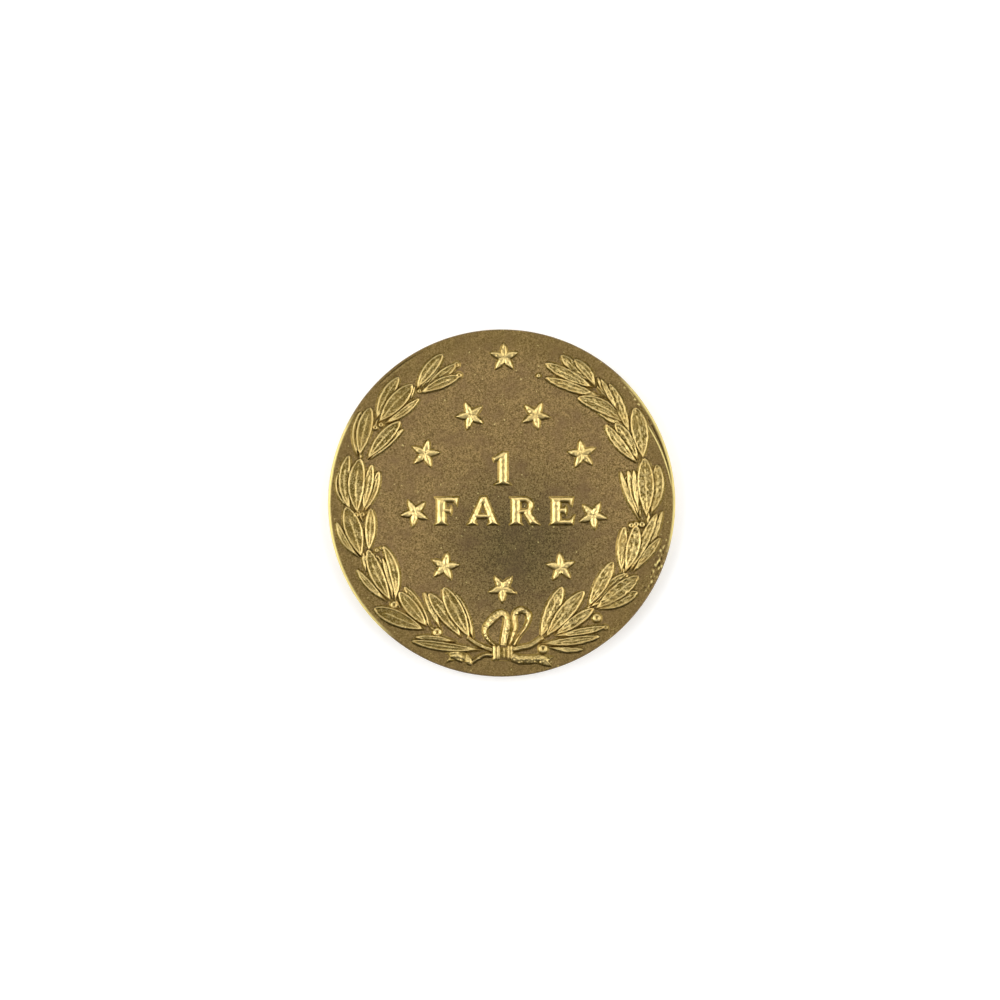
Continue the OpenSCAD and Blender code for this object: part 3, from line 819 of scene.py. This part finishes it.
def flan_mesh():
    """Top face, worn edge, side, reverse rim and flat reverse, as one closed mesh."""
    x, y, quads, rim = disc_grid(DISC_N)
    angle = np.arctan2(y, x)
    inner_r = TOKEN_R - edge_width(angle) - BORDER_W
    top_x, top_y = inner_r * x, inner_r * y
    top = np.stack([top_x, top_y, field_level(top_x, top_y)], 1)
    cos, sin = np.cos(angle[rim]), np.sin(angle[rim])
    width = edge_width(angle[rim])
    rings = []
    for share in np.linspace(0, 1, BORDER_RINGS + 1)[1:]:
        out = TOKEN_R - width - BORDER_W * (1 - share)
        rings.append((out, field_level(out * cos, out * sin)))
    edge_top = rings[-1][1]
    for share, drop in EDGE_PROFILE:
        rings.append((TOKEN_R - width * (1 - share), edge_top - EDGE_DROP * drop))
    for inset, level in SIDE_PROFILE:
        rings.append((TOKEN_R - inset, np.full(len(rim), level)))
    side = np.concatenate([np.stack([out * cos, out * sin, level], 1) for out, level in rings])
    faces = quads.tolist()
    loops = [rim]
    for i in range(len(rings)):
        loops.append(len(x) + i * len(rim) + np.arange(len(rim)))
    for upper, lower in zip(loops, loops[1:]):
        next_upper, next_lower = np.roll(upper, -1), np.roll(lower, -1)
        faces += np.stack([next_upper, upper, lower, next_lower], 1).tolist()
    faces.append(loops[-1][::-1].tolist())
    return np.concatenate([top, side]), faces


# ---------------------------------------------------------------- reverse
REVERSE_DEPTH = RECESS_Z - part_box("reverse_beads")[0].z / MM
BEADS = 72
BEAD_RING_R = 9.9
BEAD_R = 0.22
BEAD_RINGS = 5
BEAD_SEGMENTS = 16
BEAD_ROOT = 0.02  # how far a bead starts inside the disc
REVERSE_STAR_R = 5.0
REVERSE_STAR_NECK = 0.41  # radius of its inner corners, as a share
REVERSE_STAR_BEVEL = 0.9
REVERSE_STEP = 0.07


def reverse_dome(x0, y0):
    """A bead that stands down from the reverse field."""
    n = BEAD_SEGMENTS
    verts = []
    for i in range(BEAD_RINGS):
        turn = math.pi / 2 * i / BEAD_RINGS
        out = K * BEAD_R * math.cos(turn)
        level = RECESS_Z + BEAD_ROOT - (REVERSE_DEPTH + BEAD_ROOT) * math.sin(turn)
        for j in range(n):
            a = math.tau * j / n
            verts.append((x0 + out * math.cos(a), y0 + out * math.sin(a), level))
    verts.append((x0, y0, RECESS_Z - REVERSE_DEPTH))
    faces = [list(range(n))]
    for i in range(BEAD_RINGS - 1):
        for j in range(n):
            k = (j + 1) % n
            faces.append((i * n + k, i * n + j, (i + 1) * n + j, (i + 1) * n + k))
    start = (BEAD_RINGS - 1) * n
    for j in range(n):
        faces.append((start + (j + 1) % n, start + j, BEAD_RINGS * n))
    return verts, faces


def reverse_star_shell():
    """The large star of the reverse, with rounded facets, on a flipped grid."""
    middle = -STRIKE[0]
    ring = []
    for i in range(10):
        radius = REVERSE_STAR_R * (REVERSE_STAR_NECK if i % 2 else 1)
        a = math.radians(90 + 36 * i)
        ring.append((radius * math.cos(a) + middle, radius * math.sin(a)))

    def height(x, y):
        return rounded(polygon_depth(x, y, [ring]), REVERSE_STAR_BEVEL, REVERSE_DEPTH)

    low = (middle - REVERSE_STAR_R, -REVERSE_STAR_R)
    high = (middle + REVERSE_STAR_R, REVERSE_STAR_R)
    verts, faces = grid_shell(low, high, height, REVERSE_STEP)
    verts[:, 2] = RECESS_Z - (verts[:, 2] - FIELD_Z)
    return verts, [f[::-1] for f in faces]


# ---------------------------------------------------------------- materials
DARK_PATCH_PLACE = (1.2, -2.9, FIELD_Z)  # middle of a darker patch on the field, in millimetres
DARK_PATCH_OUT, DARK_PATCH_IN = 6.8, 1.5  # it fades between these distances from there
DISC_MIDDLE = (0.0, 0.0, FIELD_Z)
RUB_AND_HIGHLIGHT_LEFT = (-11.3, -2.0, FIELD_Z)  # the worn edge is painted bright round these places, on the left and right where the softboxes shine on it: painted highlight as well as wear
RUB_AND_HIGHLIGHT_RIGHT = (11.1, 3.0, FIELD_Z)
DARK_PATCH_TONE = (0.56, 0.61, 0.64)  # by which the patch's colour is multiplied
GROOVE_TONE = (0.035, 0.024, 0.008)  # near-black tone wherever the field sinks more than about 0.012 mm below its level, short of the outermost edge
BORDER_TONE = (0.13, 0.09, 0.02)  # the outer part of the field is tinted with this
SIDE_DARK = (0.24, 0.16, 0.055)  # the handled side, in its streaks and between them
SIDE_LIGHT = (0.58, 0.43, 0.16)
BRIGHT_TONE = (0.80, 0.66, 0.25)  # the disc's worn edge, with painted highlights on its left and right, its ridge and its bright specks
GRAIN_SIZE = 0.09
BLOTCH_SIZE = 1.6
SPECK_SIZE = 0.28
STREAK_SIZE = 0.35
STREAK_STRETCH = (1, 1, 9)  # the streaks of the side lie level
SHEEN_SIZE = 0.5  # of the places where the surface is more or less rough


def brass(name, hollow, worn, stain, rough, grain_depth, rise, speckle):
    """Worn brass. hollow and worn are its tones in the low and in the worn high places, rise holds the
    heights above the field between which one turns to the other, or None for the disc, speckle is how
    much the grain takes part in that, and stain is the tone of its blotches. The low places' darker tone
    is partly patina and partly painted shade, and the grain's tone partly paints glints on its bumps."""
    material = bpy.data.materials.new(name)
    material.use_nodes = True
    nodes, links = material.node_tree.nodes, material.node_tree.links
    shader = nodes["Principled BSDF"]
    shader.inputs["Metallic"].default_value = 1.0
    coords = nodes.new("ShaderNodeTexCoord")
    scale = nodes.new("ShaderNodeMapping")
    scale.inputs["Scale"].default_value = (1 / MM, 1 / MM, 1 / MM)
    links.new(coords.outputs["Object"], scale.inputs["Vector"])
    place = nodes.new("ShaderNodeSeparateXYZ")
    links.new(scale.outputs["Vector"], place.inputs["Vector"])

    def noise(size, detail, roughness=0.6, stretch=(1, 1, 1)):
        """Noise with bumps of a size in millimetres; a stretch above 1 makes them shorter."""
        squeeze = nodes.new("ShaderNodeVectorMath")
        squeeze.operation = "MULTIPLY"
        squeeze.inputs[1].default_value = stretch
        links.new(scale.outputs["Vector"], squeeze.inputs[0])
        node = nodes.new("ShaderNodeTexNoise")
        node.inputs["Scale"].default_value = 1 / size
        node.inputs["Detail"].default_value = detail
        node.inputs["Roughness"].default_value = roughness
        links.new(squeeze.outputs["Vector"], node.inputs["Vector"])
        return node.outputs["Fac"]

    def remap(source, from_low, from_high, to_low, to_high):
        """The source, with one range of it turned to another and held there beyond its ends."""
        node = nodes.new("ShaderNodeMapRange")
        node.inputs["From Min"].default_value = from_low
        node.inputs["From Max"].default_value = from_high
        node.inputs["To Min"].default_value = to_low
        node.inputs["To Max"].default_value = to_high
        links.new(source, node.inputs["Value"])
        return node.outputs["Result"]

    def above(low, high, to_low, to_high):
        """A share that changes between two heights above the field."""
        return remap(place.outputs["Z"], FIELD_Z + low, FIELD_Z + high, to_low, to_high)

    def near(point, far, close, most):
        """A share that grows to most between two distances from a point, far and close."""
        node = nodes.new("ShaderNodeVectorMath")
        node.operation = "DISTANCE"
        node.inputs[1].default_value = point
        links.new(scale.outputs["Vector"], node.inputs[0])
        return remap(node.outputs["Value"], far, close, 0, most)

    def within(outer, inner, most):
        """A share that grows to most between two distances inwards from the side."""
        return near(DISC_MIDDLE, TOKEN_R - outer, TOKEN_R - inner, most)

    def calculate(operation, *values):
        """The result of a sum on two shares."""
        node = nodes.new("ShaderNodeMath")
        node.operation = operation
        for socket, value in zip(node.inputs, values):
            links.new(value, socket)
        return node.outputs["Value"]

    def mix(factor, a, b, blend="MIX"):
        """One colour turned to another by a factor; each is a tone or comes from a node."""
        node = nodes.new("ShaderNodeMix")
        node.data_type = "RGBA"
        node.blend_type = blend
        links.new(factor, node.inputs["Factor"])
        for socket, value in ((node.inputs[6], a), (node.inputs[7], b)):
            if isinstance(value, tuple):
                socket.default_value = (*value, 1)
            else:
                links.new(value, socket)
        return node.outputs[2]

    # Tones by grain and height, partly painted glints on the grain and painted shade low down, then
    # blotches and the tint of the disc's outer part.
    # The grain's bright specks and dark gaps sit on the noise that also gives the bumps: partly the
    # grain's own tone, partly painted glints.
    grain = noise(GRAIN_SIZE, 3, 0.7)
    share = remap(grain, 0.38, 0.62, 0, speckle)
    # Painted shade together with patina: the relief darkens towards the field and brightens towards its
    # worn tops.
    if rise:
        share = calculate("ADD", above(*rise, -0.3, 0.8), share)
    colour = mix(share, hollow, worn)
    colour = mix(remap(noise(BLOTCH_SIZE, 5), 0.45, 0.72, 0, 0.75), colour, stain)
    colour = mix(within(2.4, 0.8, 0.35), colour, BORDER_TONE)
    if not rise:
        # The disc also has its darker patch, bright specks, near-black low places, side, and worn edge
        # with painted highlights on the left and right.
        colour = mix(near(DARK_PATCH_PLACE, DARK_PATCH_OUT, DARK_PATCH_IN, 1), colour, DARK_PATCH_TONE, "MULTIPLY")
        colour = mix(remap(noise(SPECK_SIZE, 1), 0.72, 0.78, 0, 0.6), colour, BRIGHT_TONE)
        groove = calculate("MULTIPLY", above(-0.012, -0.035, 0, 0.85), within(0.08, 0.13, 1))
        colour = mix(groove, colour, GROOVE_TONE)
        streaks = remap(noise(STREAK_SIZE, 6, 0.7, STREAK_STRETCH), 0.35, 0.65, 0, 1)
        colour = mix(above(-0.1, -0.17, 0, 0.8), colour, mix(streaks, SIDE_DARK, SIDE_LIGHT))
        # Painted highlight with wear: the worn edge and the side below it are painted bright on the left
        # and right, where the softboxes reflect in them.
        edge = calculate("MULTIPLY", within(0.22, 0.1, 0.85), above(-0.24, -0.14, 0.2, 1))
        left = near(RUB_AND_HIGHLIGHT_LEFT, 8.2, 6.8, 1)
        right = near(RUB_AND_HIGHLIGHT_RIGHT, 6.4, 5.2, 0.9)
        rub_and_highlight = calculate("MULTIPLY", edge, calculate("ADD", left, right))
        ridge = above(0.008, 0.03, 0, 0.85)
        colour = mix(calculate("MAXIMUM", rub_and_highlight, ridge), colour, BRIGHT_TONE)
    links.new(colour, shader.inputs["Base Color"])
    sheen = remap(noise(SHEEN_SIZE, 4), 0.3, 0.7, rough - 0.06, rough + 0.08)
    links.new(sheen, shader.inputs["Roughness"])
    texture = nodes.new("ShaderNodeBump")
    texture.inputs["Strength"].default_value = 1.0
    texture.inputs["Distance"].default_value = grain_depth * MM
    links.new(grain, texture.inputs["Height"])
    links.new(texture.outputs["Normal"], shader.inputs["Normal"])
    return material


FIELD = brass(
    "brass_field",
    hollow=(0.10, 0.067, 0.024),
    worn=(0.37, 0.25, 0.099),
    stain=(0.185, 0.117, 0.055),
    rough=0.38,
    grain_depth=0.04,
    rise=None,
    speckle=1.0,
)
RELIEF = brass(
    "brass_relief",
    hollow=(0.13, 0.085, 0.014),
    worn=(0.84, 0.645, 0.265),
    stain=(0.50, 0.345, 0.11),
    rough=0.32,
    grain_depth=0.016,
    rise=(0.03, 0.12),
    speckle=0.5,
)
LEAF = brass(
    "brass_leaf",
    hollow=(0.115, 0.075, 0.013),
    worn=(0.90, 0.69, 0.285),
    stain=(0.42, 0.29, 0.09),
    rough=0.32,
    grain_depth=0.03,
    rise=(0.05, 0.12),
    speckle=0.62,
)
REVERSE = brass(
    "brass_reverse",
    hollow=(0.40, 0.29, 0.11),
    worn=(0.62, 0.45, 0.18),
    stain=(0.42, 0.29, 0.15),
    rough=0.38,
    grain_depth=0.010,
    rise=None,
    speckle=1.0,
)

# ---------------------------------------------------------------- build the token
piece("flan_struck", [flan_mesh()], FIELD, "brass_field", "flan")

for side_name, branch in (("left", LEFT_LEAVES), ("right", RIGHT_LEAVES)):
    spray_below = []
    for number, spray in enumerate(branch, 1):
        shells = []
        in_front = list(spray_below)
        for order, leaf in enumerate(spray):
            shells.append(leaf_shell(leaf, in_front, side_name, 100 * number + order))
            in_front.append(leaf_outline(leaf))
        spray_below = in_front[len(spray_below) :]
        node = f"{side_name}_spray_{number}"
        piece(node + "_leaves", shells, LEAF, "brass_relief", node)

for node, berries in (("left_berries", LEFT_BERRIES), ("right_berries", RIGHT_BERRIES)):
    shells = [berry_shell(*berry, relief_height(node)) for berry in berries]
    piece(node + "_domes", shells, RELIEF, "brass_relief", node)

for seed, (node, path) in enumerate((("left_stem", LEFT_STEM), ("right_stem", RIGHT_STEM)), 30):
    shells = [stem_shell(path, relief_height(node), seed)]
    piece(node + "_round", shells, RELIEF, "brass_relief", node)

# A band of the ribbon is its path, where its ridge runs, the height of its folds and its notch.
RIBBON = {
    "ribbon_loop_left": [(LEFT_LOOP, -0.6, 0.012, 0)],
    "ribbon_loop_right": [(RIGHT_LOOP, 0.2, 0.012, 0)],
    "ribbon_tail_left": [(LEFT_TAIL, 0, 0.02, 0), (LEFT_TAIL_END, 0.1, 0.05, 0.35)],
    "ribbon_tail_right": [(RIGHT_TAIL, 0.1, 0.03, 0.35)],
}
for seed, (node, bands) in enumerate(RIBBON.items(), 40):
    shells = [
        ribbon_shell(path, relief_height(node), crest, folds, notch, seed)
        for path, crest, folds, notch in bands
    ]
    piece(node + "_band", shells, RELIEF, "brass_relief", node)

shells = [knot_shell(relief_height("ribbon_knot") - KNOT_SPARE)]
piece("ribbon_knot_folds", shells, RELIEF, "brass_relief", "ribbon_knot")

for number, star in enumerate(STARS, 1):
    node = f"star_{number}"
    shells = [star_shell(star, relief_height(node) - STAR_SPARE, 60 + number)]
    piece(node + "_struck", shells, RELIEF, "brass_relief", node)

for seed, node in enumerate(LETTERS, 80):
    shells = [letter_shell(node, relief_height(node) - LETTER_SPARE, seed)]
    piece(node + "_struck", shells, RELIEF, "brass_relief", node)

shells = []
for i in range(BEADS):
    a = math.tau * i / BEADS
    shells.append(reverse_dome(K * BEAD_RING_R * math.cos(a), K * BEAD_RING_R * math.sin(a)))
piece("reverse_beads_domes", shells, REVERSE, "brass_reverse", "reverse_beads")
piece("reverse_star_struck", [reverse_star_shell()], REVERSE, "brass_reverse", "reverse_star")

# ---------------------------------------------------------------- floor, light, camera
FLOOR_SIZE = 0.8  # metres, as are the softboxes' places and sizes
FLOOR_WHITE = 0.9
FLOOR_GLOW = 0.22  # the floor's own light, which keeps it white round the token
# A softbox is its place, size and power in watts.
SOFTBOXES = {
    "softbox_left": ((-0.27, 0, 0.19), 0.36, 1.15),
    "softbox_right": ((0.27, 0, 0.19), 0.36, 1.0),
    "softbox_top": ((0, 0.27, 0.19), 0.3, 0.42),
}
# The surround that the token reflects: the height of a direction, and the grey there.
SURROUND_LOW = (0.1, 0.03)
SURROUND_HIGH = (0.75, 0.30)
VIEW_WIDTH = 66.15 * MM
CAMERA_XY = (-0.11 * MM, 0.2 * MM)
LENS = 100
SENSOR = 36


def floor():
    """A matt white square under the token."""
    material = bpy.data.materials.new("floor_white")
    material.use_nodes = True
    shader = material.node_tree.nodes["Principled BSDF"]
    shader.inputs["Base Color"].default_value = (FLOOR_WHITE, FLOOR_WHITE, FLOOR_WHITE, 1)
    shader.inputs["Roughness"].default_value = 0.9
    shader.inputs["Specular IOR Level"].default_value = 0.1
    shader.inputs["Emission Color"].default_value = (1, 1, 1, 1)
    shader.inputs["Emission Strength"].default_value = FLOOR_GLOW
    mesh = bpy.data.meshes.new("floor")
    half = FLOOR_SIZE / 2
    corners = [(-half, -half, 0), (half, -half, 0), (half, half, 0), (-half, half, 0)]
    mesh.from_pydata(corners, [], [(0, 1, 2, 3)])
    mesh.materials.append(material)
    obj = bpy.data.objects.new("floor", mesh)
    bpy.context.scene.collection.objects.link(obj)


def softbox(name, place, size, power):
    """A square area light that faces the token."""
    light = bpy.data.lights.new(name, "AREA")
    light.shape = "SQUARE"
    light.size = size
    light.energy = power
    obj = bpy.data.objects.new(name, light)
    obj.location = place
    target = -obj.location.normalized()
    obj.rotation_euler = target.to_track_quat("-Z", "Y").to_euler()
    bpy.context.scene.collection.objects.link(obj)


def surround():
    """A dim surround that is darker near the horizon, and white where the camera looks past the floor."""
    world = bpy.data.worlds.new("surround")
    bpy.context.scene.world = world
    world.use_nodes = True
    nodes, links = world.node_tree.nodes, world.node_tree.links
    coords = nodes.new("ShaderNodeTexCoord")
    split = nodes.new("ShaderNodeSeparateXYZ")
    ramp = nodes.new("ShaderNodeValToRGB")
    for stop, (place, grey) in zip(ramp.color_ramp.elements, (SURROUND_LOW, SURROUND_HIGH)):
        stop.position = place
        stop.color = (grey, grey, grey, 1)
    links.new(coords.outputs["Generated"], split.inputs["Vector"])
    links.new(split.outputs["Z"], ramp.inputs["Fac"])
    path = nodes.new("ShaderNodeLightPath")
    seen = nodes.new("ShaderNodeMix")
    seen.data_type = "RGBA"
    seen.inputs[7].default_value = (1, 1, 1, 1)
    links.new(path.outputs["Is Camera Ray"], seen.inputs["Factor"])
    links.new(ramp.outputs["Color"], seen.inputs[6])
    links.new(seen.outputs[2], nodes["Background"].inputs["Color"])


def camera():
    """Straight above the token, far enough that it fills about a third of the picture."""
    data = bpy.data.cameras.new("camera")
    data.lens = LENS
    data.sensor_width = SENSOR
    obj = bpy.data.objects.new("camera", data)
    obj.location = (CAMERA_XY[0], CAMERA_XY[1], FIELD_Z * MM + VIEW_WIDTH * LENS / SENSOR)
    data.clip_start = 0.01
    data.clip_end = 10
    bpy.context.scene.collection.objects.link(obj)
    bpy.context.scene.camera = obj


floor()
for name, (place, size, power) in SOFTBOXES.items():
    softbox(name, place, size, power)
surround()
camera()
bpy.context.scene.view_settings.view_transform = "Standard"
